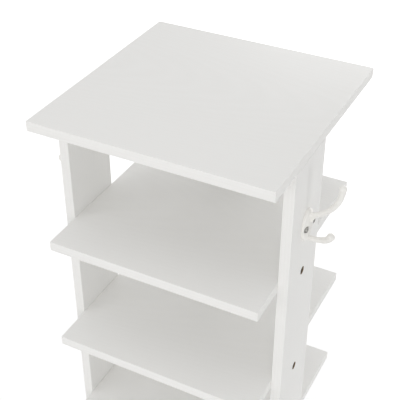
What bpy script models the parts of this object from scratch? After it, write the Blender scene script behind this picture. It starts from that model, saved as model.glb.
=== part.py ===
"""Shoe rack: a slim tower of boards on three uprights, with a double coat hook on each side.

Metres, +Z up, the front towards -Y. The origin is on the floor, under the middle of the top board.
"""

import math

import bmesh
import bpy
from mathutils import Vector

# Boards
HEIGHT = 1.080
TOP_WIDTH = 0.280
TOP_DEPTH = 0.280
BOARD = 0.012
BOARD_ARRIS = 0.0006
UPRIGHT_WIDTH = 0.080
SIDE_SETBACK = 0.051
SHELF_COUNT = 7
TOP_CLEAR = 0.141
TOE_CLEAR = 0.039

# Clearances: between faces that touch, around what sits in a hole, and past a face that is cut
FIT_GAP = 0.0003
HOLE_GAP = 0.0003
CUT_PAST = 0.002

# Shelf screws, countersunk and set below the face of the upright
SCREW_HEAD_DIA = 0.0090
SCREW_HEAD_RIM = 0.0008
SCREW_CONE = 0.0025
SCREW_SHANK_DIA = 0.0040
SCREW_IN_SHELF = 0.030
SCREW_POINT = 0.004
SCREW_RECESS = 0.0010
SCREW_DRIVE_DIA = 0.0040
SCREW_DRIVE_DEPTH = 0.0016

# Cam fittings at the head of each upright
CAM_DIA = 0.012
CAM_BACK_WALL = 0.0025
CAM_DROP = 0.024
CAM_DRIVE_DIA = 0.0050
CAM_DRIVE_DEPTH = 0.0012
BOLT_THREAD_DIA = 0.0060
BOLT_SHANK_DIA = 0.0040
BOLT_HEAD_DIA = 0.0056
BOLT_HEAD = 0.0030

# Wood left above the bolts and dowels in the top board
TOP_SKIN = 0.0040

# Dowels, two at the head of each upright
DOWEL_DIA = 0.0060
DOWEL_IN_UPRIGHT = 0.020
DOWEL_INSET = 0.014
DOWEL_CHAMFER = 0.0008

# Floor glides, two under each upright
GLIDE_EDGE = 0.0010
GLIDE_HEIGHT = 0.0030
GLIDE_ROUND = 0.0007
GLIDE_INSET = 0.016
GLIDE_PIN_DIA = 0.0024
GLIDE_PIN = 0.012
GLIDE_PIN_POINT = 0.003

# Coat hooks: an oval crowned plate centred on the line of its screws, from which heights are counted
HOOK_DROP = 0.0960
HOOK_PLATE_HEIGHT = 0.0388
HOOK_PLATE_EDGE = 0.0044
HOOK_RIM = 0.0023
HOOK_CREST = 0.0058
HOOK_ROOT_IN = 0.0012

# Upper arm of a hook, with a ball at its tip
UPPER_ROOT = 0.0128
UPPER_ROOT_DIA = 0.0054
UPPER_ROOT_PULL = 0.0135
UPPER_ROOT_RISE = 0.0010
UPPER_REACH = 0.0353
UPPER_TIP = 0.0549
UPPER_TIP_RISE = 0.0255
UPPER_NECK_DIA = 0.0071
UPPER_BALL_DIA = 0.0083

# Rib under the upper arm
RIB_FOOT = 0.0045
RIB_REACH = 0.0105
RIB_THICKNESS = 0.0036

# Lower arm of a hook, with a ball at its tip
LOWER_ROOT = -0.0160
LOWER_ROOT_DIA = 0.0055
LOWER_ROOT_PULL = 0.0186
LOWER_ROOT_RISE = -0.0017
LOWER_REACH = 0.0277
LOWER_TIP = -0.0080
LOWER_TIP_PULL = 0.0017
LOWER_TIP_RISE = 0.0047
LOWER_NECK_DIA = 0.0088
LOWER_BALL_DIA = 0.0092

# Hook screws, pan-headed
HOOK_SCREW_PITCH = 0.0190
HOOK_SCREW_HEAD_DIA = 0.0070
HOOK_SCREW_HEAD = 0.0025
HOOK_SCREW_RIM = 0.0009
HOOK_SCREW_SHANK_DIA = 0.0034
HOOK_SCREW_SEAT = 0.0026
HOOK_SCREW_SKIN = 0.0030
HOOK_SCREW_POINT = 0.003
HOOK_SCREW_DRIVE_DIA = 0.0030
HOOK_SCREW_DRIVE_DEPTH = 0.0012

# Fineness of round shapes
HOLE_SIDES = 12
SCREW_SIDES = 10
FITTING_SIDES = 14
PLATE_SIDES = 28
CROWN_STEPS = 4
ARM_STEPS = 9
ARM_ROUNDING = 3
BALL_STEPS = 8
SHARP_ANGLE = math.radians(35)
MERGE = 0.00001

# Heights and places that follow from the sizes above
TOP_UNDERSIDE = HEIGHT - BOARD
FIRST_SHELF_TOP = TOP_UNDERSIDE - TOP_CLEAR
LAST_SHELF_TOP = TOE_CLEAR + BOARD
SHELF_PITCH = (FIRST_SHELF_TOP - LAST_SHELF_TOP) / (SHELF_COUNT - 1)
UPRIGHT_HEAD = TOP_UNDERSIDE - FIT_GAP
UPRIGHT_FOOT = GLIDE_HEIGHT + FIT_GAP
OUTER_FACE = BOARD / 2
INNER_FACE = -BOARD / 2
SHELF_EDGE = INNER_FACE - FIT_GAP
SOCKET_TOP = HEIGHT - TOP_SKIN
SIDE_X = TOP_WIDTH / 2 - BOARD / 2
SIDE_Y = -TOP_DEPTH / 2 + SIDE_SETBACK + UPRIGHT_WIDTH / 2
BACK_Y = TOP_DEPTH / 2 - BOARD / 2

# Each upright has an empty on the floor under its middle, turned so that +X points out of the rack.
# The two words name what lies towards the empty's -Y and +Y.
SIDES = {
    "right": ((SIDE_X, SIDE_Y, 0), 0, ("front", "rear")),
    "back": ((0, BACK_Y, 0), math.pi / 2, ("right", "left")),
    "left": ((-SIDE_X, SIDE_Y, 0), math.pi, ("rear", "front")),
}
HOOK_SIDES = ("right", "left")

# Turns for a piece whose own axis is Z, and for an outline drawn flat in X and Y that has to stand up
UPWARD = (0, 0, 0)
OUTWARD = (0, math.pi / 2, 0)
INWARD = (0, -math.pi / 2, 0)
STANDING = (math.pi / 2, 0, 0)


def clear_scene():
    for obj in list(bpy.data.objects):
        bpy.data.objects.remove(obj, do_unlink=True)


def new_collection(name):
    collection = bpy.data.collections.new(name)
    bpy.context.scene.collection.children.link(collection)
    return collection


def new_material(name, colour, roughness, metallic=0.0):
    material = bpy.data.materials.new(name)
    material.use_nodes = True
    shader = material.node_tree.nodes["Principled BSDF"]
    shader.inputs["Base Color"].default_value = (*colour, 1)
    shader.inputs["Roughness"].default_value = roughness
    shader.inputs["Metallic"].default_value = metallic
    return material


clear_scene()
PARTS = new_collection("shoe_rack")
CUTTERS = new_collection("cutters")
WHITE_BOARD = new_material("white_board", (0.80, 0.80, 0.79), 0.45)
CREAM_PLASTIC = new_material("cream_plastic", (0.78, 0.77, 0.73), 0.35)
DARK_STEEL = new_material("dark_steel", (0.11, 0.09, 0.065), 0.40, 0.8)
GREY_STEEL = new_material("grey_steel", (0.26, 0.255, 0.24), 0.35, 0.9)
ZINC = new_material("zinc", (0.55, 0.55, 0.53), 0.40, 0.9)
BEECH = new_material("beech", (0.62, 0.43, 0.25), 0.70)
BLACK_PLASTIC = new_material("black_plastic", (0.03, 0.03, 0.03), 0.50)


def place(name, data, material, parent=None, at=(0, 0, 0), turn=UPWARD):
    """An object that shows the material or, with none, a hidden cutter or guide."""
    obj = bpy.data.objects.new(name, data)
    obj.parent = parent
    obj.location = at
    obj.rotation_euler = turn
    if material is None:
        CUTTERS.objects.link(obj)
        obj.hide_render = True
        obj.display_type = "WIRE"
        return obj
    PARTS.objects.link(obj)
    if not data.materials:
        data.materials.append(material)
    return obj


def cut(obj, cutter, operation="DIFFERENCE"):
    boolean = obj.modifiers.new(cutter.name, "BOOLEAN")
    boolean.operation = operation
    boolean.solver = "EXACT"
    boolean.object = cutter


def finished_mesh(obj):
    """The object's evaluated shape as a mesh in its own frame, welded and shaded; the object is removed."""
    bpy.context.view_layer.update()
    graph = bpy.context.evaluated_depsgraph_get()
    mesh = bpy.data.meshes.new_from_object(obj.evaluated_get(graph))
    mesh.name = obj.name
    shape = bmesh.new()
    shape.from_mesh(mesh)
    bmesh.ops.remove_doubles(shape, verts=shape.verts, dist=MERGE)
    shape.to_mesh(mesh)
    shape.free()
    mesh.shade_smooth()
    mesh.set_sharp_from_angle(angle=SHARP_ANGLE)
    bpy.data.objects.remove(obj)
    return mesh


def block_mesh(name, low, high):
    """A box between two corners."""
    low, high = Vector(low), Vector(high)
    mesh = bpy.data.meshes.new(name)
    shape = bmesh.new()
    bmesh.ops.create_cube(shape, size=1)
    bmesh.ops.scale(shape, vec=high - low, verts=shape.verts)
    bmesh.ops.translate(shape, vec=(low + high) / 2, verts=shape.verts)
    shape.to_mesh(mesh)
    shape.free()
    return mesh


def turned_mesh(name, profile, sides):
    """A turned shape from a profile of (radius, height), taken down its outside from the axis to the axis."""
    mesh = bpy.data.meshes.new(name)
    shape = bmesh.new()
    points = [shape.verts.new((radius, 0, height)) for radius, height in profile]
    for upper, lower in zip(points, points[1:]):
        shape.edges.new((upper, lower))
    shape.to_mesh(mesh)
    shape.free()
    guide = place(name, mesh, None)
    screw = guide.modifiers.new("turn", "SCREW")
    screw.steps = sides
    screw.render_steps = sides
    screw.use_merge_vertices = True
    screw.merge_threshold = MERGE
    return finished_mesh(guide)


def cylinder_mesh(name, radius, top, bottom, sides=HOLE_SIDES):
    return turned_mesh(name, [(0, top), (radius, top), (radius, bottom), (0, bottom)], sides)


def board(name, low, high, parent=None):
    """A board between two corners, with its arrises eased."""
    obj = place(name, block_mesh(name, low, high), WHITE_BOARD, parent)
    bevel = obj.modifiers.new("arris", "BEVEL")
    bevel.width = BOARD_ARRIS
    bevel.segments = 1
    return obj


def shelf_top(number):
    return FIRST_SHELF_TOP - (number - 1) * SHELF_PITCH


def make_boards(empties):
    """The top board by the name top, the uprights by their sides and the shelves by their numbers."""
    half_width, half_depth = TOP_WIDTH / 2, TOP_DEPTH / 2
    low, high = (-half_width, -half_depth, TOP_UNDERSIDE), (half_width, half_depth, HEIGHT)
    boards = {"top": board("top_panel", low, high)}
    for side, empty in empties.items():
        low = (INNER_FACE, -UPRIGHT_WIDTH / 2, UPRIGHT_FOOT)
        high = (OUTER_FACE, UPRIGHT_WIDTH / 2, UPRIGHT_HEAD)
        boards[side] = board(side + "_upright", low, high, empty)
    reach = half_width - BOARD - FIT_GAP
    rear = half_depth - BOARD - FIT_GAP
    for number in range(1, SHELF_COUNT + 1):
        top = shelf_top(number)
        low, high = (-reach, -half_depth, top - BOARD), (reach, rear, top)
        boards[number] = board(f"shelf_{number}", low, high)
    return boards


def make_shelf_screws(boards, empties):
    """One countersunk screw through each upright into the edge of each shelf."""
    head, shank, drive = SCREW_HEAD_DIA / 2, SCREW_SHANK_DIA / 2, SCREW_DRIVE_DIA / 2
    head_face = OUTER_FACE - SCREW_RECESS
    end = SHELF_EDGE - SCREW_IN_SHELF - head_face
    under_head = -SCREW_HEAD_RIM - SCREW_CONE
    profile = [
        (0, -SCREW_DRIVE_DEPTH),
        (drive, -SCREW_DRIVE_DEPTH),
        (drive, 0),
        (head, 0),
        (head, -SCREW_HEAD_RIM),
        (shank, under_head),
        (shank, end + SCREW_POINT),
        (0, end),
    ]
    wide, narrow = head + HOLE_GAP, shank + HOLE_GAP
    hole_profile = [
        (0, SCREW_RECESS + CUT_PAST),
        (wide, SCREW_RECESS + CUT_PAST),
        (wide, -SCREW_HEAD_RIM - HOLE_GAP / 2),
        (narrow, under_head - HOLE_GAP / 2),
        (narrow, end + SCREW_POINT - HOLE_GAP),
        (0, end - HOLE_GAP),
    ]
    screw = turned_mesh("shelf_screw", profile, SCREW_SIDES)
    hole = turned_mesh("shelf_screw_hole", hole_profile, HOLE_SIDES)
    for number in range(1, SHELF_COUNT + 1):
        for side, empty in empties.items():
            name = f"shelf_{number}_{side}_screw"
            at = (head_face, 0, shelf_top(number) - BOARD / 2)
            place(name, screw, DARK_STEEL, empty, at, OUTWARD)
            cutter = place(name + "_hole", hole, None, empty, at, OUTWARD)
            cut(boards[side], cutter)
            cut(boards[number], cutter)


def make_cams(boards, empties):
    """Cam discs in pockets in the uprights' inner faces, each slotted for the head of its bolt."""
    radius, drive = CAM_DIA / 2, CAM_DRIVE_DIA / 2
    depth = BOARD - CAM_BACK_WALL
    profile = [
        (0, -CAM_DRIVE_DEPTH),
        (drive, -CAM_DRIVE_DEPTH),
        (drive, 0),
        (radius, 0),
        (radius, HOLE_GAP - depth),
        (0, HOLE_GAP - depth),
    ]
    disc = turned_mesh("cam", profile, FITTING_SIDES)
    pocket = cylinder_mesh("cam_pocket", radius + HOLE_GAP, CUT_PAST, -depth, FITTING_SIDES)
    head = BOLT_HEAD_DIA / 2 + HOLE_GAP
    slot_low = (-head, -head, -BOLT_HEAD / 2 - HOLE_GAP)
    slot_high = (OUTER_FACE, head, radius + CUT_PAST)
    slot = block_mesh("cam_slot", slot_low, slot_high)
    for side, empty in empties.items():
        height = UPRIGHT_HEAD - CAM_DROP
        at = (INNER_FACE, 0, height)
        cam = place(side + "_cam", disc, ZINC, empty, at, INWARD)
        cut(cam, place(side + "_cam_slot", slot, None, empty, (0, 0, height)))
        cut(boards[side], place(side + "_cam_pocket", pocket, None, empty, at, INWARD))


def make_cam_bolts(boards, empties):
    """Bolts screwed up into the top board, each hanging down to its head in a cam."""
    thread, shank, head = BOLT_THREAD_DIA / 2, BOLT_SHANK_DIA / 2, BOLT_HEAD_DIA / 2
    height = UPRIGHT_HEAD - CAM_DROP
    foot = height - BOLT_HEAD / 2
    profile = [
        (0, SOCKET_TOP - HOLE_GAP),
        (thread, SOCKET_TOP - HOLE_GAP),
        (thread, TOP_UNDERSIDE),
        (shank, TOP_UNDERSIDE),
        (shank, height + BOLT_HEAD / 2),
        (head, height),
        (head, foot),
        (0, foot),
    ]
    bolt = turned_mesh("cam_bolt", profile, SCREW_SIDES)
    socket = cylinder_mesh("bolt_socket", thread + HOLE_GAP, SOCKET_TOP, TOP_UNDERSIDE - CUT_PAST)
    passage = cylinder_mesh("bolt_passage", head + HOLE_GAP, UPRIGHT_HEAD + CUT_PAST, foot - HOLE_GAP)
    for side, empty in empties.items():
        place(side + "_cam_bolt", bolt, ZINC, empty)
        cut(boards["top"], place(side + "_bolt_socket", socket, None, empty))
        cut(boards[side], place(side + "_bolt_passage", passage, None, empty))


def make_dowels(boards, empties):
    """Dowels with chamfered ends, partly in the top board and partly in the upright."""
    radius = DOWEL_DIA / 2
    bottom = UPRIGHT_HEAD - DOWEL_IN_UPRIGHT
    upper, lower = SOCKET_TOP - HOLE_GAP, bottom + HOLE_GAP
    profile = [
        (0, upper),
        (radius - DOWEL_CHAMFER, upper),
        (radius, upper - DOWEL_CHAMFER),
        (radius, lower + DOWEL_CHAMFER),
        (radius - DOWEL_CHAMFER, lower),
        (0, lower),
    ]
    dowel = turned_mesh("dowel", profile, SCREW_SIDES)
    hole = cylinder_mesh("dowel_hole", radius + HOLE_GAP, SOCKET_TOP, bottom)
    for side, empty in empties.items():
        for word, sign in zip(SIDES[side][2], (-1, 1)):
            name = f"{side}_{word}_dowel"
            at = (0, sign * (UPRIGHT_WIDTH / 2 - DOWEL_INSET), 0)
            place(name, dowel, BEECH, empty, at)
            cutter = place(name + "_hole", hole, None, empty, at)
            cut(boards["top"], cutter)
            cut(boards[side], cutter)


def make_glides(boards, empties):
    """Round feet, each with a pin driven up into the end of the upright."""
    radius, pin = BOARD / 2 - GLIDE_EDGE, GLIDE_PIN_DIA / 2
    end = GLIDE_HEIGHT + GLIDE_PIN
    profile = [
        (0, end),
        (pin, end - GLIDE_PIN_POINT),
        (pin, GLIDE_HEIGHT),
        (radius, GLIDE_HEIGHT),
        (radius, GLIDE_ROUND),
        (radius - GLIDE_ROUND, 0),
        (0, 0),
    ]
    glide = turned_mesh("glide", profile, SCREW_SIDES)
    hole = cylinder_mesh("glide_hole", pin + HOLE_GAP, end + HOLE_GAP, 0)
    for side, empty in empties.items():
        for word, sign in zip(SIDES[side][2], (-1, 1)):
            name = f"{side}_{word}_glide"
            at = (0, sign * (UPRIGHT_WIDTH / 2 - GLIDE_INSET), 0)
            place(name, glide, BLACK_PLASTIC, empty, at)
            cut(boards[side], place(name + "_hole", hole, None, empty, at))


def hook_plate_mesh():
    """An oval button, turned round and then narrowed: a thin rim and a crown over it."""
    radius = HOOK_PLATE_HEIGHT / 2
    width = HOOK_SCREW_PITCH + 2 * HOOK_PLATE_EDGE
    profile = []
    for step in range(CROWN_STEPS + 1):
        out = step / CROWN_STEPS
        profile.append((radius * out, HOOK_CREST - (HOOK_CREST - HOOK_RIM) * out**2))
    profile += [(radius, 0), (0, 0)]
    mesh = turned_mesh("hook", profile, PLATE_SIDES)
    shape = bmesh.new()
    shape.from_mesh(mesh)
    bmesh.ops.scale(shape, vec=(1, width / HOOK_PLATE_HEIGHT, 1), verts=shape.verts)
    shape.to_mesh(mesh)
    shape.free()
    return mesh


def arm_mesh(name, root, root_pull, root_dia, tip, tip_pull, neck_dia):
    """A round arm in the hook's X and Z that follows a curve to the middle of its ball."""
    handles = (root, root + root_pull, tip - tip_pull, tip)
    curve = bpy.data.curves.new(name, "CURVE")
    curve.dimensions = "3D"
    curve.bevel_depth = neck_dia / 2
    curve.bevel_resolution = ARM_ROUNDING
    curve.use_fill_caps = True
    spline = curve.splines.new("POLY")
    spline.points.add(ARM_STEPS)
    for step, point in enumerate(spline.points):
        t = step / ARM_STEPS
        shares = ((1 - t) ** 3, 3 * (1 - t) ** 2 * t, 3 * (1 - t) * t**2, t**3)
        spot = sum((handle * share for handle, share in zip(handles, shares)), Vector())
        point.co = (*spot, 1)
        point.radius = (root_dia + (neck_dia - root_dia) * t) / neck_dia
    return finished_mesh(place(name, curve, None))


def ball_mesh(name, dia):
    """A round end for an arm, turned about Z."""
    profile = []
    for step in range(BALL_STEPS + 1):
        angle = math.pi * step / BALL_STEPS
        profile.append((math.sin(angle) * dia / 2 if 0 < step < BALL_STEPS else 0, math.cos(angle) * dia / 2))
    return turned_mesh(name, profile, FITTING_SIDES)


def rib_mesh():
    """A flat web that fills the corner under the upper arm, as an outline in the hook's X and Z."""
    corners = (
        (HOOK_ROOT_IN, RIB_FOOT),
        (HOOK_CREST, RIB_FOOT),
        (RIB_REACH, UPPER_ROOT),
        (HOOK_ROOT_IN, UPPER_ROOT),
    )
    curve = bpy.data.curves.new("rib", "CURVE")
    curve.dimensions = "2D"
    curve.fill_mode = "BOTH"
    curve.extrude = RIB_THICKNESS / 2
    spline = curve.splines.new("POLY")
    spline.points.add(len(corners) - 1)
    for point, (out, up) in zip(spline.points, corners):
        point.co = (out, up, 0, 1)
    spline.use_cyclic_u = True
    return finished_mesh(place("rib", curve, None))


def hook_mesh(screw_hole):
    """The plate, the two arms and the rib joined, with the holes for the two screws."""
    hook = place("hook", hook_plate_mesh(), None, turn=OUTWARD)
    upper_tip = Vector((UPPER_REACH, 0, UPPER_TIP))
    upper = arm_mesh(
        "upper_arm",
        Vector((HOOK_ROOT_IN, 0, UPPER_ROOT)),
        Vector((UPPER_ROOT_PULL, 0, UPPER_ROOT_RISE)),
        UPPER_ROOT_DIA,
        upper_tip,
        Vector((0, 0, UPPER_TIP_RISE)),
        UPPER_NECK_DIA,
    )
    lower_tip = Vector((LOWER_REACH, 0, LOWER_TIP))
    lower = arm_mesh(
        "lower_arm",
        Vector((HOOK_ROOT_IN, 0, LOWER_ROOT)),
        Vector((LOWER_ROOT_PULL, 0, LOWER_ROOT_RISE)),
        LOWER_ROOT_DIA,
        lower_tip,
        Vector((LOWER_TIP_PULL, 0, LOWER_TIP_RISE)),
        LOWER_NECK_DIA,
    )
    joined = [
        place("upper_arm", upper, None),
        place("upper_ball", ball_mesh("upper_ball", UPPER_BALL_DIA), None, at=upper_tip),
        place("lower_arm", lower, None),
        place("lower_ball", ball_mesh("lower_ball", LOWER_BALL_DIA), None, at=lower_tip),
        place("rib", rib_mesh(), None, turn=STANDING),
    ]
    for piece in joined:
        cut(hook, piece, "UNION")
    for sign in (-1, 1):
        hole = place("screw_hole", screw_hole, None, at=(0, sign * HOOK_SCREW_PITCH / 2, 0), turn=OUTWARD)
        cut(hook, hole)
        joined.append(hole)
    mesh = finished_mesh(hook)
    for piece in joined:
        bpy.data.objects.remove(piece)
    return mesh


def make_hooks(boards, empties):
    """A hook on the outer face of each side upright, held by two screws on flat seats in its plate."""
    head, shank, drive = HOOK_SCREW_HEAD_DIA / 2, HOOK_SCREW_SHANK_DIA / 2, HOOK_SCREW_DRIVE_DIA / 2
    under_head = HOOK_SCREW_SEAT + HOLE_GAP
    top = under_head + HOOK_SCREW_HEAD
    end = HOOK_SCREW_SKIN - BOARD - FIT_GAP
    profile = [
        (0, top - HOOK_SCREW_DRIVE_DEPTH),
        (drive, top - HOOK_SCREW_DRIVE_DEPTH),
        (drive, top),
        (head - HOOK_SCREW_RIM, top),
        (head, top - HOOK_SCREW_RIM),
        (head, under_head),
        (shank, under_head),
        (shank, end + HOOK_SCREW_POINT),
        (0, end),
    ]
    clear_of_plate = HOOK_CREST + CUT_PAST
    hole_profile = [
        (0, clear_of_plate),
        (head + HOLE_GAP, clear_of_plate),
        (head + HOLE_GAP, HOOK_SCREW_SEAT),
        (shank + HOLE_GAP, HOOK_SCREW_SEAT),
        (shank + HOLE_GAP, end + HOOK_SCREW_POINT - HOLE_GAP),
        (0, end - HOLE_GAP),
    ]
    screw = turned_mesh("hook_screw", profile, SCREW_SIDES)
    hole = turned_mesh("hook_screw_hole", hole_profile, HOLE_SIDES)
    hook = hook_mesh(hole)
    base = Vector((OUTER_FACE + FIT_GAP, 0, HEIGHT - HOOK_DROP))
    for side in HOOK_SIDES:
        place(side + "_hook", hook, CREAM_PLASTIC, empties[side], base, OUTWARD)
        for word, sign in zip(SIDES[side][2], (-1, 1)):
            name = f"{side}_hook_{word}_screw"
            at = base + Vector((0, sign * HOOK_SCREW_PITCH / 2, 0))
            place(name, screw, GREY_STEEL, empties[side], at, OUTWARD)
            cut(boards[side], place(name + "_hole", hole, None, empties[side], at, OUTWARD))


def make_empties():
    empties = {}
    for side, (at, turn, _) in SIDES.items():
        empty = bpy.data.objects.new(side + "_side", None)
        empty.location = at
        empty.rotation_euler = (0, 0, turn)
        PARTS.objects.link(empty)
        empties[side] = empty
    return empties


def main():
    empties = make_empties()
    boards = make_boards(empties)
    make_shelf_screws(boards, empties)
    make_cams(boards, empties)
    make_cam_bolts(boards, empties)
    make_dowels(boards, empties)
    make_glides(boards, empties)
    make_hooks(boards, empties)


main()
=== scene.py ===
import math

import bmesh
import bpy
from mathutils import Matrix, Vector


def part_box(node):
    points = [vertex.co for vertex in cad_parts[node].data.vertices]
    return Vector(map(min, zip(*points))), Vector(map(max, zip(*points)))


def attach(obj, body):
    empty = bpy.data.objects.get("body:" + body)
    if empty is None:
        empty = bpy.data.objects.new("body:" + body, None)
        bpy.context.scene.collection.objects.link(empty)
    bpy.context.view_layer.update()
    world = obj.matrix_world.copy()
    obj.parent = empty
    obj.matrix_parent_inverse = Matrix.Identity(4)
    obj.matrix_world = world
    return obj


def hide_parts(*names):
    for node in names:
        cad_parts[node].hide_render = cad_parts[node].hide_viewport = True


# Shoe rack: a tower of printed boards on three uprights, with a moulded double coat hook on each side.
# Metres, +Z up, the front towards -Y.
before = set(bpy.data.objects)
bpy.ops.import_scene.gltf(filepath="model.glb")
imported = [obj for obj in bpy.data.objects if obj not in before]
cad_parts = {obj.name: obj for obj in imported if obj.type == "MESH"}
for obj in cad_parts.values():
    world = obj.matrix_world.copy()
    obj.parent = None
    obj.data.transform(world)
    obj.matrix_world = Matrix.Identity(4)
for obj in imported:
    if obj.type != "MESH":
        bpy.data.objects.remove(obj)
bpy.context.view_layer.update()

# Camera
CAMERA_AT = (0.3837, -0.7611, 1.5416)
CAMERA_TILT = math.radians(54.70)
CAMERA_TURN = math.radians(27.37)
CAMERA_LENS_MM = 80.0
CAMERA_SENSOR_MM = 36.0

# Studio: each soft light's place, size and power in watts
WORLD_LIGHT = 0.548
LIGHTS = {
    "front_light": ((0.85, -3.55, 1.6), 2.6, 38.5),
    "left_light": ((-2.6, -2.6, 1.9), 1.2, 13.0),
    "side_light": ((1.9, 0.0, 0.20), 0.6, 4.6),
    "top_light": ((0.0, -0.3, 4.0), 2.6, 20.0),
    "back_light": ((0.0, 3.6, 1.2), 2.6, 64.0),
}
LIGHT_AIM = (0.0, 0.0, 0.75)

# Floor: it is lifted towards white, and more so from the near to the far end of the fade
FLOOR_RADIUS = 40.0
FLOOR_COLOUR = (0.80, 0.80, 0.80)
FLOOR_LIFT = 0.28
FLOOR_FAR_LIFT = 0.60
FLOOR_FADE = (0.4, 3.0)

# Boards: their rounded arrises, and how far a shelf or a hook reaches into the fitting gap to its upright.
# What faces a board's thin way by more than FACE_TILT is a printed face, and the rest is edge band.
ARRIS = 0.00035
ARRIS_STEPS = 3
ARRIS_PROFILE = 0.5
SNUG = 0.00025
FACE_TILT = 0.8
FACE_SLOT, BAND_SLOT, CORE_SLOT = range(3)

# Printed grain: how far it moves along from board to board, and how far off the middle its heart lies
PRINT_SHIFT = 0.83
SHELF_HEART = 0.045
UPRIGHT_HEART = 0.110

# Growth rings in the print: rings for each squared metre off the heart (arch), for each metre across (slant)
# and for each metre along (climb), how many rings they wander, and the tone at places through one ring
FACE_RINGS = {"arch": 900, "slant": 0, "climb": 22, "wander": 1.6}
BAND_RINGS = {"arch": 0, "slant": 260, "climb": 1.5, "wander": 1.5}
RING_TONES = ((0.0, 0.4), (0.25, 1.0), (0.85, 0.0), (1.0, 0.4))

# Noises in the materials: spots per metre along each axis, detail and roughness
RING_WAVER = ((5, 14, 1), 2.0, 0.5)
PRINT_FIBRES = ((18, 650, 1), 3.0, 0.6)
PRINT_PORES = ((60, 1900, 1), 1.0, 0.5)
CHIPS = ((900, 900, 900), 4.0, 0.65)
MOTTLE = ((140, 140, 140), 3.0, 0.5)
SATIN = ((3200, 3200, 3200), 2.0, 0.5)
PLATING = ((420, 420, 420), 4.0, 0.6)
DARK_MARKS = ((1500, 1500, 1500), 2.0, 0.5)
GREY_MARKS = ((2500, 2500, 400), 2.0, 0.5)
ZINC_MARKS = ((1200, 1200, 1200), 2.0, 0.5)
BEECH_FIBRES = ((900, 900, 60), 3.0, 0.6)
BEECH_FLECKS = ((1600, 1600, 220), 1.0, 0.5)

# The ends of the range that a noise mostly keeps to, and the share of pores, rings or flecks in a mix
NOISE_LOW = 0.3
NOISE_HIGH = 0.7
PORE_SHARE = 0.4
RING_SHARE = 0.35
FLECK_SHARE = 0.4

# Colours, each pale and shaded
FACE_COLOURS = ((0.890, 0.885, 0.868), (0.871, 0.865, 0.846))
BAND_COLOURS = ((0.900, 0.894, 0.877), (0.862, 0.854, 0.833))
# The chipboard's pale colour is its own. Its shaded colour is darker than raw chipboard and is painted shade
# inside a hole.
CHIP_AND_HOLE_SHADE_COLOURS = ((0.42, 0.30, 0.18), (0.16, 0.10, 0.055))
CREAM_COLOURS = ((0.880, 0.867, 0.834), (0.856, 0.842, 0.807))
BLACK_COLOURS = ((0.040, 0.040, 0.042), (0.022, 0.022, 0.024))
DARK_COLOURS = ((0.095, 0.080, 0.060), (0.060, 0.050, 0.036))
GREY_COLOURS = ((0.340, 0.336, 0.318), (0.250, 0.246, 0.232))
ZINC_COLOURS = ((0.580, 0.580, 0.570), (0.480, 0.480, 0.470))
BEECH_COLOURS = ((0.640, 0.450, 0.270), (0.520, 0.345, 0.195))

# Gloss: the shine of the print, and roughness at the low and at the high end of a noise
PRINT_SHINE = 0.10
PRINT_ROUGHNESS = (0.56, 0.46)
CHIP_ROUGHNESS = (0.95, 0.8)
CREAM_ROUGHNESS = (0.52, 0.40)
BLACK_ROUGHNESS = (0.60, 0.42)
DARK_ROUGHNESS = (0.50, 0.32)
GREY_ROUGHNESS = (0.42, 0.28)
ZINC_ROUGHNESS = (0.52, 0.36)
BEECH_ROUGHNESS = (0.75, 0.6)

# Bumps: strength and depth
PRINT_BUMP = (0.25, 0.00006)
CHIP_BUMP = (0.6, 0.0003)
SATIN_BUMP = (0.12, 0.00003)
MARK_BUMP = (0.2, 0.00004)
BEECH_BUMP = (0.4, 0.0001)

# Holes: the room around what sits in them, and how far a cutter stands past the face that it cuts
CLEARANCE = 0.0003
CUT_PAST = 0.002

# Shelf screws, countersunk and set below the face of the upright
SCREW_HEAD_DIA = 0.0090
SCREW_HEAD_RIM = 0.0008
SCREW_CONE = 0.0025
SCREW_NECK = 0.008
SCREW_SHANK_DIA = 0.0030
SCREW_THREAD_DIA = 0.0040
SCREW_PITCH = 0.0018
SCREW_POINT = 0.004
SCREW_CROSS = 0.0054
SCREW_CROSS_DEPTH = 0.0018

# Hook screws, pan-headed
HOOK_SCREW_HEAD_DIA = 0.0070
HOOK_SCREW_HEAD = 0.0025
HOOK_SCREW_EDGE = 0.0010
HOOK_SCREW_SHANK_DIA = 0.0024
HOOK_SCREW_THREAD_DIA = 0.0034
HOOK_SCREW_PITCH = 0.0014
HOOK_SCREW_POINT = 0.003
HOOK_SCREW_CROSS = 0.0042
HOOK_SCREW_CROSS_DEPTH = 0.0016
HOOK_SCREW_CROSS_TURN = 0.4

# Cross recesses: the width of a wing at the top, and the share of the outline that is left at the bottom
CROSS_WING = 0.0010
CROSS_TAPER = 0.55

# Threads: how many rings one turn has, and the share of the pitch on each side of the ridge's crest
THREAD_RINGS = 6
THREAD_RIDGE = 0.30

# Cam fittings
CAM_CHAMFER = 0.0005
CAM_CROSS = 0.0076
CAM_CROSS_WING = 0.0014
CAM_CROSS_DEPTH = 0.0016
BOLT_THREAD_ROOT_DIA = 0.0046
BOLT_THREAD_DIA = 0.0060
BOLT_COLLAR_DIA = 0.0060
BOLT_COLLAR = 0.0006
BOLT_SHANK_DIA = 0.0040
BOLT_HEAD_DIA = 0.0056
BOLT_HEAD = 0.0030
BOLT_PITCH = 0.0020

# Dowels
DOWEL_CHAMFER = 0.0008
DOWEL_FLUTES = 16
DOWEL_FLUTE_DEPTH = 0.00018

# Floor glides
GLIDE_ROUND = 0.0009
GLIDE_HEIGHT = 0.0030
GLIDE_PIN_DIA = 0.0024
GLIDE_PIN_POINT = 0.003

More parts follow.
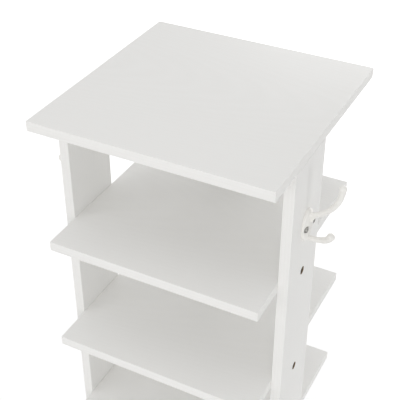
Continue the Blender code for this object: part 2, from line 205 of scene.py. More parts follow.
# Hooks, in a frame with +X out of the upright and heights counted from the line of the two screws.
# A hook is made deeper by HOOK_SINK and then cut flat behind.
HOOK_WIDTH = 0.0278
HOOK_HEIGHT = 0.0388
HOOK_RIM = 0.0023
HOOK_RIM_EASE = 0.0006
HOOK_CREST = 0.0058
HOOK_SEAT = 0.0026
HOOK_ROOT_IN = 0.0012
HOOK_SINK = 0.0020
UPPER_ROOT = Vector((HOOK_ROOT_IN, 0, 0.0128))
UPPER_ROOT_PULL = Vector((0.0135, 0, 0.0010))
UPPER_ROOT_DIA = 0.0054
UPPER_TIP = Vector((0.0353, 0, 0.0549))
UPPER_TIP_PULL = Vector((0, 0, 0.0255))
UPPER_NECK_DIA = 0.0071
UPPER_BALL_DIA = 0.0083
LOWER_ROOT = Vector((HOOK_ROOT_IN, 0, -0.0160))
LOWER_ROOT_PULL = Vector((0.0186, 0, -0.0017))
LOWER_ROOT_DIA = 0.0055
LOWER_TIP = Vector((0.0277, 0, -0.0080))
LOWER_TIP_PULL = Vector((0.0017, 0, 0.0047))
LOWER_NECK_DIA = 0.0088
LOWER_BALL_DIA = 0.0092
RIB_FOOT = 0.0045
RIB_REACH = 0.0105
RIB_THICKNESS = 0.0036
HOOK_VOXEL = 0.0004
HOOK_SMOOTHING = 6

# Fineness of round shapes
ROUND_SIDES = 40
SMALL_SIDES = 24
PLATE_SIDES = 80
FLUTE_SIDES = 4
CROWN_STEPS = 10
ARM_STEPS = 28
EDGE_STEPS = 7
BALL_STEPS = 12
BOARD_SHARP = math.radians(20)
ROUND_SHARP = math.radians(40)
MERGE = 0.000004

# Each side's own +X points out of the rack after this turn about Z.
SIDE_TURNS = {"right": 0.0, "back": math.pi / 2, "left": math.pi}
HOOK_SIDES = ("right", "left")
OUTWARD = Matrix.Rotation(math.pi / 2, 4, "Y")
INWARD = Matrix.Rotation(-math.pi / 2, 4, "Y")
X, Y, Z = range(3)


# Places in the frame


def floor_frame(node):
    """A frame on the floor under the middle of a CAD node."""
    low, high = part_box(node)
    middle = (low + high) / 2
    return Matrix.Translation((middle.x, middle.y, 0))


def side_frame(side):
    """A frame on the floor under the middle of a side's upright, with +X out of the rack."""
    return floor_frame(side + "_upright") @ Matrix.Rotation(SIDE_TURNS[side], 4, "Z")


def box_in(place, node):
    """A CAD node's lowest and highest corners, seen from a frame that is turned by quarter turns."""
    corners = [place.inverted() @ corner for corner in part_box(node)]
    return Vector(map(min, *corners)), Vector(map(max, *corners))


def nodes_ending(*endings):
    return sorted(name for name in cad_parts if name.endswith(endings))


def shelf_screws(side):
    return [node for node in nodes_ending(f"_{side}_screw") if node.startswith("shelf_")]


def hook_screws(side):
    return [node for node in nodes_ending("_screw") if node.startswith(side + "_hook")]


def screw_frame(side, node):
    """A frame in the middle of a screw's head face, with +Z out of the rack, and the screw's length."""
    place = side_frame(side)
    low, high = box_in(place, node)
    at = Matrix.Translation((high.x, (low.y + high.y) / 2, (low.z + high.z) / 2))
    return place @ at @ OUTWARD, high.x - low.x


def cam_frame(side):
    """A frame in the middle of a cam's inner face, with +Z into the rack, the cam's radius and its depth."""
    place = side_frame(side)
    low, high = box_in(place, side + "_cam")
    at = Matrix.Translation((low.x, 0, (low.z + high.z) / 2))
    return place @ at @ INWARD, (high.y - low.y) / 2, high.x - low.x


# Mesh building


def mesh_from(shape, name):
    bmesh.ops.recalc_face_normals(shape, faces=shape.faces)
    mesh = bpy.data.meshes.new(name)
    shape.to_mesh(mesh)
    shape.free()
    return mesh


def skin(name, rings):
    """A closed mesh over rings of points. A ring of one point is a pole."""
    shape = bmesh.new()
    made = [[shape.verts.new(point) for point in points] for points in rings]
    sides = max(map(len, made))
    for upper, lower in zip(made, made[1:]):
        for side in range(sides):
            after = (side + 1) % sides
            corners = [upper[side % len(upper)], lower[side % len(lower)]]
            corners += [lower[after % len(lower)], upper[after % len(upper)]]
            shape.faces.new(dict.fromkeys(corners))
    return mesh_from(shape, name)


def ring(radius, height, sides):
    """Points round Z. The radius is a number, or a function of the angle."""
    if radius == 0:
        return [Vector((0, 0, height))]
    points = []
    for side in range(sides):
        angle = 2 * math.pi * side / sides
        reach = radius(angle) if callable(radius) else radius
        points.append(Vector((reach * math.cos(angle), reach * math.sin(angle), height)))
    return points


def turned(name, profile, sides=ROUND_SIDES):
    """A shape turned about Z from a profile of (radius, height) that runs from the axis to the axis."""
    return skin(name, [ring(radius, height, sides) for radius, height in profile])


def thread(root_dia, crest_dia, pitch, top, bottom):
    """Rings of a screw thread between two heights, as (radius, height).

    The crest comes half a turn round, and the ridge fades at both ends.
    """
    steps = round((top - bottom) / pitch * THREAD_RINGS)
    rings = []
    for step in range(steps + 1):
        turns = step / THREAD_RINGS
        left = (steps - step) / THREAD_RINGS
        rise = (crest_dia - root_dia) / 2 * min(1, turns, left)

        def radius(angle, turns=turns, rise=rise):
            phase = (turns + angle / (2 * math.pi)) % 1
            return root_dia / 2 + rise * max(0, 1 - abs(phase - 1 / 2) / THREAD_RIDGE)

        rings.append((radius, top - turns * pitch))
    return rings


def cross(name, reach, wing, depth):
    """A cutter for a cross recess that narrows downwards from just above Z = 0."""
    half, arm_reach = wing / 2, reach / 2
    quarter = [(arm_reach, -half), (arm_reach, half), (half, half)]
    outline = []
    for turn in range(4):
        outline += [Matrix.Rotation(turn * math.pi / 2, 2) @ Vector(point) for point in quarter]
    rings = [[Vector((0, 0, CUT_PAST))]]
    for share, height in ((1, CUT_PAST), (1, 0), (CROSS_TAPER, -depth)):
        rings.append([Vector((share * point.x, share * point.y, height)) for point in outline])
    rings.append([Vector((0, 0, -depth))])
    return skin(name, rings)


def block(name, low, high):
    """A box between two corners."""
    rings = []
    for height in (high[Z], low[Z]):
        corners = ((low[X], low[Y]), (high[X], low[Y]), (high[X], high[Y]), (low[X], high[Y]))
        rings.append([Vector((*corner, height)) for corner in corners])
    middle = [(low[axis] + high[axis]) / 2 for axis in (X, Y)]
    return skin(name, [[Vector((*middle, high[Z]))], *rings, [Vector((*middle, low[Z]))]])


def placed(mesh, place=Matrix()):
    """A new object in the scene."""
    obj = bpy.data.objects.new(mesh.name, mesh)
    obj.matrix_world = place
    bpy.context.scene.collection.objects.link(obj)
    return obj


def shaded(mesh, sharp=BOARD_SHARP):
    """The mesh, smooth except at edges that turn by more than the sharp angle."""
    mesh.shade_smooth()
    mesh.set_sharp_from_angle(angle=sharp)
    return mesh


def baked(obj, sharp):
    """The object's shape with its modifiers, welded and shaded; the object is removed."""
    bpy.context.view_layer.update()
    graph = bpy.context.evaluated_depsgraph_get()
    mesh = bpy.data.meshes.new_from_object(obj.evaluated_get(graph))
    mesh.name = obj.name
    bpy.data.objects.remove(obj)
    shape = bmesh.new()
    shape.from_mesh(mesh)
    bmesh.ops.remove_doubles(shape, verts=shape.verts, dist=MERGE)
    shape.to_mesh(mesh)
    shape.free()
    return shaded(mesh, sharp)


def combine(obj, tools, operation="DIFFERENCE"):
    """Adds a boolean for each (mesh, place) to an object, and returns the objects that these read."""
    helpers = []
    for mesh, place in tools:
        helper = placed(mesh, place)
        boolean = obj.modifiers.new("combine", "BOOLEAN")
        boolean.operation = operation
        boolean.solver = "EXACT"
        boolean.object = helper
        helpers.append(helper)
    return helpers


def carved(mesh, tools, sharp=BOARD_SHARP, place=Matrix()):
    """The mesh after cutting each (mesh, place) out of it."""
    obj = placed(mesh, place)
    helpers = combine(obj, tools)
    result = baked(obj, sharp)
    for helper in helpers:
        bpy.data.objects.remove(helper)
    return result


def show(node, mesh, place=Matrix()):
    """A finished piece that stands for a CAD node."""
    piece = placed(mesh, place)
    piece.name = node + "_visual"
    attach(piece, "root")
    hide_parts(node)


# Materials


def add_node(tree, kind, values=None, links=None, settings=None):
    """A shader node with constant inputs, inputs that other nodes feed, and settings."""
    node = tree.nodes.new(kind)
    for key, value in (settings or {}).items():
        setattr(node, key, value)
    for key, value in (values or {}).items():
        node.inputs[key].default_value = value
    for key, output in (links or {}).items():
        tree.links.new(output, node.inputs[key])
    return node


def new_material(name, metallic=0.0):
    material = bpy.data.materials.new(name)
    material.use_nodes = True
    shader = material.node_tree.nodes["Principled BSDF"]
    shader.inputs["Metallic"].default_value = metallic
    return material, material.node_tree, shader


def object_place(tree):
    """Each spot's place in the frame of its own piece."""
    return add_node(tree, "ShaderNodeTexCoord").outputs["Object"]


def noise(tree, vector, spots, detail, roughness):
    """Noise with its own number of spots per metre along each axis."""
    stretched = add_node(tree, "ShaderNodeMapping", {"Scale": spots}, {"Vector": vector})
    values = {"Scale": 1.0, "Detail": detail, "Roughness": roughness}
    links = {"Vector": stretched.outputs["Vector"]}
    return add_node(tree, "ShaderNodeTexNoise", values, links).outputs["Fac"]


def mixed(tree, first, second, share=0.5):
    """A value with a share of the second, and the rest of the first."""
    links = {"A": first, "B": second}
    return add_node(tree, "ShaderNodeMix", {"Factor": share}, links).outputs["Result"]


def coloured(tree, factor, stops):
    """Colours at places along the factor, as (place, colour)."""
    ramp = add_node(tree, "ShaderNodeValToRGB", None, {"Fac": factor})
    elements = ramp.color_ramp.elements
    for place, _ in stops[len(elements) :]:
        elements.new(place)
    for element, (place, colour) in zip(elements, stops):
        element.position = place
        element.color = (*colour, 1)
    return ramp.outputs["Color"]


def shades(tree, factor, colours):
    """The shaded colour at the low end of a noise and the pale one at its high end."""
    pale, shade = colours
    return coloured(tree, factor, ((NOISE_LOW, shade), (NOISE_HIGH, pale)))


def between(tree, factor, limits=(0.0, 1.0)):
    """The range of a noise, spread over new limits."""
    low, high = limits
    values = {"From Min": NOISE_LOW, "From Max": NOISE_HIGH, "To Min": low, "To Max": high}
    return add_node(tree, "ShaderNodeMapRange", values, {"Value": factor}).outputs["Result"]


def raised(tree, height, bump):
    strength, depth = bump
    values = {"Strength": strength, "Distance": depth}
    return add_node(tree, "ShaderNodeBump", values, {"Height": height}).outputs["Normal"]


def finish_with(tree, shader, colour, roughness, normal):
    tree.links.new(colour, shader.inputs["Base Color"])
    tree.links.new(roughness, shader.inputs["Roughness"])
    tree.links.new(normal, shader.inputs["Normal"])


def times_add(tree, value, factor, rest):
    """value times a number or a value, plus a number or a value."""
    node = add_node(tree, "ShaderNodeMath", None, {0: value}, {"operation": "MULTIPLY_ADD"})
    for place, term in ((1, factor), (2, rest)):
        if isinstance(term, (int, float)):
            node.inputs[place].default_value = term
        else:
            tree.links.new(term, node.inputs[place])
    return node.outputs["Value"]


def growth_rings(tree, grain, arch, slant, climb, wander):
    """Growth rings of a plain-sawn board: nested arches about the heart, from 0 in each ring to 1."""
    along, across, _ = add_node(tree, "ShaderNodeSeparateXYZ", None, {"Vector": grain}).outputs
    count = times_add(tree, noise(tree, grain, *RING_WAVER), wander, 0)
    count = times_add(tree, along, climb, count)
    count = times_add(tree, across, slant, count)
    count = times_add(tree, times_add(tree, across, across, 0), arch, count)
    return add_node(tree, "ShaderNodeMath", None, {0: count}, {"operation": "FRACT"}).outputs["Value"]


def laminate(name, colours, rings):
    """White melamine paper with a faint printed grain and a shallow embossed one.

    The grain attribute gives each spot's place along and across the grain.
    """
    material, tree, shader = new_material(name)
    shader.inputs["Specular IOR Level"].default_value = PRINT_SHINE
    grain = add_node(tree, "ShaderNodeAttribute", settings={"attribute_name": "grain"}).outputs["Vector"]
    through_ring = growth_rings(tree, grain, **rings)
    late_wood = coloured(tree, through_ring, [(place, (tone, tone, tone)) for place, tone in RING_TONES])
    fibres = between(tree, noise(tree, grain, *PRINT_FIBRES))
    pores = between(tree, noise(tree, grain, *PRINT_PORES))
    tone = mixed(tree, mixed(tree, fibres, pores, PORE_SHARE), late_wood, RING_SHARE)
    pale, shade = colours
    colour = coloured(tree, tone, ((0.0, shade), (1.0, pale)))
    roughness = between(tree, tone, PRINT_ROUGHNESS)
    finish_with(tree, shader, colour, roughness, raised(tree, mixed(tree, fibres, pores), PRINT_BUMP))
    return material


def chipboard(name):
    """Raw particle board inside a drilled hole, darkened below raw chipboard's own colour as painted shade
    of the hollow.
    """
    material, tree, shader = new_material(name)
    chips = noise(tree, object_place(tree), *CHIPS)
    roughness = between(tree, chips, CHIP_ROUGHNESS)
    finish_with(tree, shader, shades(tree, chips, CHIP_AND_HOLE_SHADE_COLOURS), roughness, raised(tree, chips, CHIP_BUMP))
    return material


def plastic(name, colours, roughness_limits):
    """Moulded plastic with a slight mottle and a fine satin grain."""
    material, tree, shader = new_material(name)
    place = object_place(tree)
    mottle = noise(tree, place, *MOTTLE)
    satin = noise(tree, place, *SATIN)
    roughness = between(tree, mixed(tree, mottle, satin), roughness_limits)
    finish_with(tree, shader, shades(tree, mottle, colours), roughness, raised(tree, satin, SATIN_BUMP))
    return material


def metal(name, colours, roughness_limits, marking):
    """Plated steel or die-cast zinc with cloudy plating and fine marks."""
    material, tree, shader = new_material(name, metallic=1.0)
    place = object_place(tree)
    clouds = noise(tree, place, *PLATING)
    marks = noise(tree, place, *marking)
    roughness = between(tree, mixed(tree, clouds, marks), roughness_limits)
    finish_with(tree, shader, shades(tree, clouds, colours), roughness, raised(tree, marks, MARK_BUMP))
    return material


def timber(name):
    """Plain beech with fibres along Z."""
    material, tree, shader = new_material(name)
    place = object_place(tree)
    fibres = noise(tree, place, *BEECH_FIBRES)
    flecks = noise(tree, place, *BEECH_FLECKS)
    colour = shades(tree, mixed(tree, fibres, flecks, FLECK_SHARE), BEECH_COLOURS)
    roughness = between(tree, fibres, BEECH_ROUGHNESS)
    finish_with(tree, shader, colour, roughness, raised(tree, fibres, BEECH_BUMP))
    return material


FACE = laminate("laminate_face", FACE_COLOURS, FACE_RINGS)
BAND = laminate("laminate_band", BAND_COLOURS, BAND_RINGS)
# The core's dark colour is painted shade inside the drilled holes.
CORE_AND_HOLE_SHADE = chipboard("chipboard_core_with_painted_shade")
CREAM = plastic("cream_plastic", CREAM_COLOURS, CREAM_ROUGHNESS)
BLACK = plastic("black_plastic", BLACK_COLOURS, BLACK_ROUGHNESS)
DARK = metal("dark_steel", DARK_COLOURS, DARK_ROUGHNESS, DARK_MARKS)
GREY = metal("grey_steel", GREY_COLOURS, GREY_ROUGHNESS, GREY_MARKS)
ZINC = metal("zinc", ZINC_COLOURS, ZINC_ROUGHNESS, ZINC_MARKS)
BEECH = timber("beech")


# Holes in the boards, each as (mesh, place)


def hole(name, profile):
    """A turned cutter whose walls show the core of the board, with its painted shade."""
    mesh = turned(name, profile)
    for polygon in mesh.polygons:
        polygon.material_index = CORE_SLOT
    return mesh


def drilled(name, radius, top, bottom):
    return hole(name, [(0, top), (radius, top), (radius, bottom), (0, bottom)])


def screw_hole(length):
    """A stepped hole along -Z for a shelf screw whose head face is at Z = 0."""
    wide = SCREW_HEAD_DIA / 2 + CLEARANCE
    narrow = SCREW_THREAD_DIA / 2 + CLEARANCE
    under_head = -SCREW_HEAD_RIM - SCREW_CONE - CLEARANCE / 2
    profile = [
        (0, CUT_PAST),
        (wide, CUT_PAST),
        (wide, -SCREW_HEAD_RIM - CLEARANCE / 2),
        (narrow, under_head),
        (narrow, SCREW_POINT - length - CLEARANCE),
        (0, -length - CLEARANCE),
    ]
    return hole("screw_hole", profile)


def shelf_screw_holes(side):
    holes = []
    for node in shelf_screws(side):
        at, length = screw_frame(side, node)
        holes.append((screw_hole(length), at))
    return holes


def cam_holes(side):
    """The pocket of an upright's cam, and the shaft of its bolt."""
    at, radius, depth = cam_frame(side)
    pocket = drilled("cam_pocket", radius + CLEARANCE, CUT_PAST, -depth - CLEARANCE)
    place = side_frame(side)
    low, high = box_in(place, side + "_cam_bolt")
    shaft = drilled("bolt_hole", BOLT_THREAD_DIA / 2 + CLEARANCE, high.z + CLEARANCE, low.z - CLEARANCE)
    return [(pocket, at), (shaft, place)]


def pin_holes(side):
    """The shafts of an upright's dowels and of its glides' nails."""
    place = side_frame(side)
    holes = []
    for node in nodes_ending("_dowel", "_glide"):
        if node.startswith(side):
            low, high = box_in(place, node)
            radius = (high.y - low.y) / 2 if node.endswith("_dowel") else GLIDE_PIN_DIA / 2
            shaft = drilled(node + "_hole", radius + CLEARANCE, high.z + CLEARANCE, low.z - CLEARANCE)
            holes.append((shaft, place @ Matrix.Translation((0, (low.y + high.y) / 2, 0))))
    return holes


def hook_screw_holes(side):
    holes = []
    for node in hook_screws(side):
        at, length = screw_frame(side, node)
        shaft = drilled("hook_screw_hole", HOOK_SCREW_THREAD_DIA / 2 + CLEARANCE, 0, -length - CLEARANCE)
        holes.append((shaft, at))
    return holes


def upright_holes(side):
    """What is drilled into an upright and into the boards that it meets."""
    return shelf_screw_holes(side) + cam_holes(side) + pin_holes(side) + hook_screw_holes(side)


def touches(mesh, place, low, high):
    """Whether a cutter reaches into a box."""
    corners = [place @ vertex.co for vertex in mesh.vertices]
    lowest, highest = Vector(map(min, *corners)), Vector(map(max, *corners))
    return all(lowest[axis] < high[axis] and highest[axis] > low[axis] for axis in (X, Y, Z))


# Boards


def write_grain(mesh, grain_axis, shift, heart):
    """Gives each corner its place along and across the grain of its face.

    The grain runs along grain_axis, or along the longer way of a face that is square to that axis.
    """
    spans = [max(vertex.co[axis] for vertex in mesh.vertices) for axis in (X, Y, Z)]
    grain = mesh.attributes.new("grain", "FLOAT_VECTOR", "CORNER")
    for polygon in mesh.polygons:
        facing = max((X, Y, Z), key=lambda axis: abs(polygon.normal[axis]))
        across, along = sorted({X, Y, Z} - {facing}, key=lambda axis: spans[axis])
        if across == grain_axis:
            across, along = along, across
        for corner in polygon.loop_indices:
            spot = mesh.vertices[mesh.loops[corner].vertex_index].co
            grain.data[corner].vector = (spot[along] + shift, spot[across] - heart, shift)


def board(node, grain_axis, holes, shift, heart, spread=Vector()):
    """A board with eased arrises, printed faces, edge bands and drilled holes.

    It stands past its node by spread at both ends.
    """
    low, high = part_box(node)
    low, high = low - spread, high + spread
    size = high - low
    thin = min((X, Y, Z), key=lambda axis: size[axis])
    shape = bmesh.new()
    bmesh.ops.create_cube(shape, size=1)
    bmesh.ops.scale(shape, vec=size, verts=shape.verts)
    bmesh.ops.bevel(
        shape,
        geom=shape.edges,
        offset=ARRIS,
        segments=ARRIS_STEPS,
        profile=ARRIS_PROFILE,
        affect="EDGES",
    )
    mesh = mesh_from(shape, node)
    for material in (FACE, BAND, CORE_AND_HOLE_SHADE):
        mesh.materials.append(material)
    for polygon in mesh.polygons:
        polygon.material_index = FACE_SLOT if abs(polygon.normal[thin]) > FACE_TILT else BAND_SLOT
    place = Matrix.Translation((low + high) / 2)
    mesh = carved(mesh, holes, place=place)
    write_grain(mesh, grain_axis, shift, heart)
    show(node, mesh, place)


def make_boards():
    """The uprights, then the top and the shelves, each with its own part of the print."""
    holes = {side: upright_holes(side) for side in SIDE_TURNS}
    every_hole = sum(holes.values(), [])
    for number, side in enumerate(SIDE_TURNS):
        board(side + "_upright", Z, holes[side], PRINT_SHIFT * number, UPRIGHT_HEART)
    shelves = sorted(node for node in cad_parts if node.startswith("shelf_") and node[-1].isdigit())
    for number, node in enumerate(["top_panel", *shelves], len(SIDE_TURNS)):
        low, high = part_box(node)
        reaching = [(mesh, place) for mesh, place in every_hole if touches(mesh, place, low, high)]
        spread = Vector((SNUG, 0, 0)) if node in shelves else Vector()
        # The sine of a square strews the hearts over both sides of the middle.
        heart = SHELF_HEART * math.sin(number**2)
        board(node, X, reaching, PRINT_SHIFT * number, heart, spread)


# Fittings


def make_shelf_screws():
    """Countersunk screws with a cross recess, threaded from below the neck to the point."""
    _, length = screw_frame("right", "shelf_1_right_screw")
    head, shank = SCREW_HEAD_DIA / 2, SCREW_SHANK_DIA / 2
    under_head = -SCREW_HEAD_RIM - SCREW_CONE
    profile = [(0, 0), (head, 0), (head, -SCREW_HEAD_RIM), (shank, under_head)]
    profile += thread(SCREW_SHANK_DIA, SCREW_THREAD_DIA, SCREW_PITCH, -SCREW_NECK, SCREW_POINT - length)
    profile.append((0, -length))
    recess = cross("screw_cross", SCREW_CROSS, CROSS_WING, SCREW_CROSS_DEPTH)
    mesh = carved(turned("shelf_screw", profile, SMALL_SIDES), [(recess, Matrix())])
    mesh.materials.append(DARK)
    for side in SIDE_TURNS:
        for node in shelf_screws(side):
            at, _ = screw_frame(side, node)
            show(node, mesh, at)


def make_hook_screws():
    """Pan-headed screws with a cross recess."""
    _, length = screw_frame("right", "right_hook_front_screw")
    head, shank, edge = HOOK_SCREW_HEAD_DIA / 2, HOOK_SCREW_SHANK_DIA / 2, HOOK_SCREW_EDGE
    profile = [(0, 0)]
    for step in range(CROWN_STEPS + 1):
        angle = math.pi / 2 * step / CROWN_STEPS
        profile.append((head - edge + edge * math.sin(angle), edge * (math.cos(angle) - 1)))
    profile += [(head, -HOOK_SCREW_HEAD), (shank, -HOOK_SCREW_HEAD)]
    top, bottom = -HOOK_SCREW_HEAD - HOOK_SCREW_EDGE, HOOK_SCREW_POINT - length
    profile += thread(HOOK_SCREW_SHANK_DIA, HOOK_SCREW_THREAD_DIA, HOOK_SCREW_PITCH, top, bottom)
    profile.append((0, -length))
    recess = cross("hook_screw_cross", HOOK_SCREW_CROSS, CROSS_WING, HOOK_SCREW_CROSS_DEPTH)
    turn = Matrix.Rotation(HOOK_SCREW_CROSS_TURN, 4, "Z")
    mesh = carved(turned("hook_screw", profile, SMALL_SIDES), [(recess, turn)])
    mesh.materials.append(GREY)
    for side in HOOK_SIDES:
        for node in hook_screws(side):
            at, _ = screw_frame(side, node)
            show(node, mesh, at)


def make_cams():
    """Cam discs with a cross recess, chamfered, and slotted for the head of the bolt."""
    for side in SIDE_TURNS:
        at, radius, depth = cam_frame(side)
        profile = [
            (0, 0),
            (radius - CAM_CHAMFER, 0),
            (radius, -CAM_CHAMFER),
            (radius, CAM_CHAMFER - depth),
            (radius - CAM_CHAMFER, -depth),
            (0, -depth),
        ]
        disc = turned("cam", profile)
        recess = cross("cam_cross", CAM_CROSS, CAM_CROSS_WING, CAM_CROSS_DEPTH)
        place = side_frame(side)
        cam_high = box_in(place, side + "_cam")[1]
        bolt_low = box_in(place, side + "_cam_bolt")[0]
        half = BOLT_HEAD_DIA / 2 + CLEARANCE
        slot_low = (-half, -half, bolt_low.z - CLEARANCE)
        slot_high = (cam_high.x + CUT_PAST, half, cam_high.z + CUT_PAST)
        mesh = carved(disc, [(recess, at), (block("cam_slot", slot_low, slot_high), place)], place=at)
        mesh.materials.append(ZINC)
        show(side + "_cam", mesh, at)


def make_cam_bolts():
    """Bolts threaded into the top board, with a collar against it and a head held in the cam."""
    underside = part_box("top_panel")[0].z
    low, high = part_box("right_cam_bolt")
    shank, head, collar = BOLT_SHANK_DIA / 2, BOLT_HEAD_DIA / 2, BOLT_COLLAR_DIA / 2
    profile = [(0, high.z)]
    profile += thread(BOLT_THREAD_ROOT_DIA, BOLT_THREAD_DIA, BOLT_PITCH, high.z, underside)
    profile += [
        (collar, underside),
        (collar, underside - BOLT_COLLAR),
        (shank, underside - BOLT_COLLAR),
        (shank, low.z + BOLT_HEAD),
        (head, low.z + BOLT_HEAD / 2),
        (head, low.z),
        (0, low.z),
    ]
    mesh = shaded(turned("cam_bolt", profile, SMALL_SIDES))
    mesh.materials.append(ZINC)
    for side in SIDE_TURNS:
        show(side + "_cam_bolt", mesh, side_frame(side))


def make_dowels():
    """Fluted dowels with chamfered ends."""
    low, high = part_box("right_front_dowel")
    radius = (high.x - low.x) / 2

    def fluted(angle):
        return radius - DOWEL_FLUTE_DEPTH * (1 + math.cos(DOWEL_FLUTES * angle)) / 2

    end = radius - DOWEL_CHAMFER
    profile = [
        (0, high.z),
        (end, high.z),
        (fluted, high.z - DOWEL_CHAMFER),
        (fluted, low.z + DOWEL_CHAMFER),
        (end, low.z),
        (0, low.z),
    ]
    mesh = shaded(turned("dowel", profile, FLUTE_SIDES * DOWEL_FLUTES), ROUND_SHARP)
    mesh.materials.append(BEECH)
    for node in nodes_ending("_dowel"):
        show(node, mesh, floor_frame(node))


def make_glides():
    """Round plastic feet with a rolled edge and a nail that goes up into the upright."""
    low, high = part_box("right_front_glide")
    radius, pin = (high.x - low.x) / 2, GLIDE_PIN_DIA / 2
    profile = [(0, high.z), (pin, high.z - GLIDE_PIN_POINT), (pin, GLIDE_HEIGHT), (radius, GLIDE_HEIGHT)]
    for step in range(EDGE_STEPS + 1):
        angle = math.pi / 2 * step / EDGE_STEPS
        sunk = GLIDE_ROUND * (1 - math.sin(angle))
        profile.append((radius - GLIDE_ROUND + GLIDE_ROUND * math.cos(angle), low.z + sunk))
    profile.append((0, low.z))
    mesh = shaded(turned("glide", profile), ROUND_SHARP)
    mesh.materials.append(BLACK)
    for node in nodes_ending("_glide"):
        show(node, mesh, floor_frame(node))


# Hooks


def plate():
    """An oval button along X with an eased rim and a crown over it."""
    radius = HOOK_HEIGHT / 2
    profile = []
    for step in range(CROWN_STEPS + 1):
        out = (1 - HOOK_RIM_EASE / radius) * step / CROWN_STEPS
        profile.append((radius * out, HOOK_CREST - (HOOK_CREST - HOOK_RIM) * out**2))
    profile += [(radius, HOOK_RIM - HOOK_RIM_EASE), (radius, -HOOK_SINK), (0, -HOOK_SINK)]
    mesh = turned("hook", profile, PLATE_SIDES)
    mesh.transform(Matrix.Diagonal((1, HOOK_WIDTH / HOOK_HEIGHT, 1, 1)))
    mesh.transform(OUTWARD)
    return mesh


def arm(name, root, root_pull, root_dia, tip, tip_pull, neck_dia):
    """A round arm in X and Z that follows a cubic curve to the middle of its ball."""
    handles = (root, root + root_pull, tip - tip_pull, tip)
    rings = [[root]]
    for step in range(ARM_STEPS + 1):
        gone = step / ARM_STEPS
        left = 1 - gone
        shares = (left**3, 3 * left**2 * gone, 3 * left * gone**2, gone**3)
        slopes = (-(left**2), left * (1 - 3 * gone), gone * (2 - 3 * gone), gone**2)
        spot = sum((handle * share for handle, share in zip(handles, shares)), Vector())
        along = sum((handle * slope for handle, slope in zip(handles, slopes)), Vector())
        turn = along.to_track_quat("Z", "Y").to_matrix()
        radius = (root_dia + (neck_dia - root_dia) * gone) / 2
        rings.append([spot + turn @ point for point in ring(radius, 0, SMALL_SIDES)])
    return skin(name, [*rings, [tip]])


def ball(name, dia):
    """A round end for an arm."""
    profile = [(0, dia / 2)]
    for step in range(1, BALL_STEPS):
        angle = math.pi * step / BALL_STEPS
        profile.append((math.sin(angle) * dia / 2, math.cos(angle) * dia / 2))
    return turned(name, [*profile, (0, -dia / 2)], SMALL_SIDES)


def rib():
    """A flat web that fills the corner under the upper arm."""
    top = UPPER_ROOT.z
    outline = ((HOOK_ROOT_IN, RIB_FOOT), (HOOK_CREST, RIB_FOOT), (RIB_REACH, top), (HOOK_ROOT_IN, top))
    rings = []
    for side in (-RIB_THICKNESS / 2, RIB_THICKNESS / 2):
        rings.append([Vector((out, side, up)) for out, up in outline])
    middles = [[sum(points, Vector()) / len(points)] for points in rings]
    return skin("rib", [middles[0], *rings, middles[1]])


def moulding():
    """A hook's plate, rib and arms, flowed into one with soft inside corners."""
    upper_curve = (UPPER_ROOT, UPPER_ROOT_PULL, UPPER_ROOT_DIA, UPPER_TIP, UPPER_TIP_PULL, UPPER_NECK_DIA)
    lower_curve = (LOWER_ROOT, LOWER_ROOT_PULL, LOWER_ROOT_DIA, LOWER_TIP, LOWER_TIP_PULL, LOWER_NECK_DIA)
    joined = [
        (arm("upper_arm", *upper_curve), Matrix()),
        (arm("lower_arm", *lower_curve), Matrix()),
        (rib(), Matrix()),
        (ball("upper_ball", UPPER_BALL_DIA), Matrix.Translation(UPPER_TIP)),
        (ball("lower_ball", LOWER_BALL_DIA), Matrix.Translation(LOWER_TIP)),
    ]
    obj = placed(plate())
    helpers = combine(obj, joined, "UNION")
    remesh = obj.modifiers.new("flow", "REMESH")
    remesh.mode = "VOXEL"
    remesh.voxel_size = HOOK_VOXEL
    smooth = obj.modifiers.new("soften", "SMOOTH")
    smooth.iterations = HOOK_SMOOTHING
    mesh = baked(obj, ROUND_SHARP)
    for helper in helpers:
        bpy.data.objects.remove(helper)
    return mesh


def hook_screw_seat():
    """A stepped cutter along Z for a hook screw's head and shank."""
    head = HOOK_SCREW_HEAD_DIA / 2 + CLEARANCE
    shank = HOOK_SCREW_THREAD_DIA / 2 + CLEARANCE
    profile = [
        (0, HOOK_CREST + CUT_PAST),
        (head, HOOK_CREST + CUT_PAST),
        (head, HOOK_SEAT),
        (shank, HOOK_SEAT),
        (shank, -HOOK_SINK),
        (0, -HOOK_SINK),
    ]
    return turned("seat", profile)


def make_hooks():
    """A moulded hook on the outer face of each side upright, cut flat behind and seated for two screws."""
    behind_low = (-HOOK_SINK - CUT_PAST, -HOOK_HEIGHT, -HOOK_HEIGHT)
    behind = block("behind", behind_low, (-SNUG, HOOK_HEIGHT, HOOK_HEIGHT))
    cutters = [(behind, Matrix())]
    place = side_frame("right")
    for node in hook_screws("right"):
        low, high = box_in(place, node)
        at = Matrix.Translation((0, (low.y + high.y) / 2, 0))
        cutters.append((hook_screw_seat(), at @ OUTWARD))
    mesh = carved(moulding(), cutters, ROUND_SHARP)
    mesh.materials.append(CREAM)
    low, high = box_in(place, "right_hook_rear_screw")
    foot = Matrix.Translation((box_in(place, "right_hook")[0].x, 0, (low.z + high.z) / 2))
    for side in HOOK_SIDES:
        show(side + "_hook", mesh, side_frame(side) @ foot)


# Studio


def background_share(tree):
    """1 for rays that show the background, straight, mirrored or through something, and 0 for its light."""
    path = add_node(tree, "ShaderNodeLightPath")
    share = path.outputs["Is Camera Ray"]
    for kind in ("Is Glossy Ray", "Is Transmission Ray"):
        links = {0: share, 1: path.outputs[kind]}
        share = add_node(tree, "ShaderNodeMath", None, links, {"operation": "MAXIMUM"}).outputs["Value"]
    return share


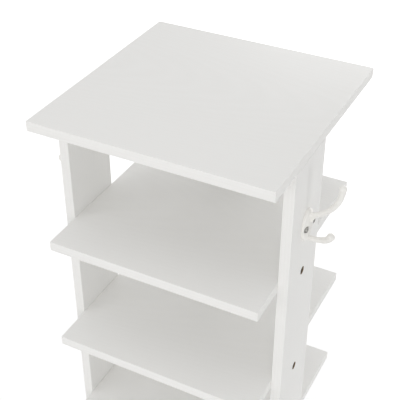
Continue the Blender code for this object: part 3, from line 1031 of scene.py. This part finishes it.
def make_floor():
    """A plain white floor that keeps the rack's shadow and runs out into the white background."""
    shape = bmesh.new()
    bmesh.ops.create_circle(shape, cap_ends=True, segments=ROUND_SIDES, radius=FLOOR_RADIUS)
    floor = placed(mesh_from(shape, "floor"))
    material, tree, shader = new_material("floor")
    shader.inputs["Base Color"].default_value = (*FLOOR_COLOUR, 1)
    shader.inputs["Roughness"].default_value = 1.0
    shader.inputs["Specular IOR Level"].default_value = 0.0
    shader.inputs["Emission Color"].default_value = (1, 1, 1, 1)
    links = {0: object_place(tree)}
    away = add_node(tree, "ShaderNodeVectorMath", None, links, {"operation": "LENGTH"}).outputs["Value"]
    near, far = FLOOR_FADE
    values = {"From Min": near, "From Max": far, "To Min": FLOOR_LIFT, "To Max": FLOOR_FAR_LIFT}
    lift = add_node(tree, "ShaderNodeMapRange", values, {"Value": away}).outputs["Result"]
    tree.links.new(times_add(tree, lift, background_share(tree), 0), shader.inputs["Emission Strength"])
    floor.data.materials.append(material)


def make_world():
    """Even light from all round, in front of a white background."""
    world = bpy.data.worlds.new("studio")
    world.use_nodes = True
    bpy.context.scene.world = world
    tree = world.node_tree
    background = tree.nodes["Background"]
    background.inputs["Color"].default_value = (1, 1, 1, 1)
    values = {"To Min": WORLD_LIGHT, "To Max": 1.0}
    strength = add_node(tree, "ShaderNodeMapRange", values, {"Value": background_share(tree)})
    tree.links.new(strength.outputs["Result"], background.inputs["Strength"])


def area_light(name, at, size, power):
    """A square soft light that faces the rack."""
    light = bpy.data.lights.new(name, "AREA")
    light.size = size
    light.energy = power
    obj = bpy.data.objects.new(name, light)
    obj.location = at
    obj.rotation_euler = (Vector(LIGHT_AIM) - Vector(at)).to_track_quat("-Z", "Y").to_euler()
    bpy.context.scene.collection.objects.link(obj)


def make_camera():
    camera = bpy.data.cameras.new("camera")
    camera.lens = CAMERA_LENS_MM
    camera.sensor_width = CAMERA_SENSOR_MM
    obj = bpy.data.objects.new("camera", camera)
    obj.location = CAMERA_AT
    obj.rotation_euler = (CAMERA_TILT, 0, CAMERA_TURN)
    bpy.context.scene.collection.objects.link(obj)
    bpy.context.scene.camera = obj


make_boards()
make_shelf_screws()
make_hook_screws()
make_cams()
make_cam_bolts()
make_dowels()
make_glides()
make_hooks()
make_floor()
make_world()
for light_name, light_values in LIGHTS.items():
    area_light(light_name, *light_values)
make_camera()
bpy.context.scene.view_settings.view_transform = "Standard"
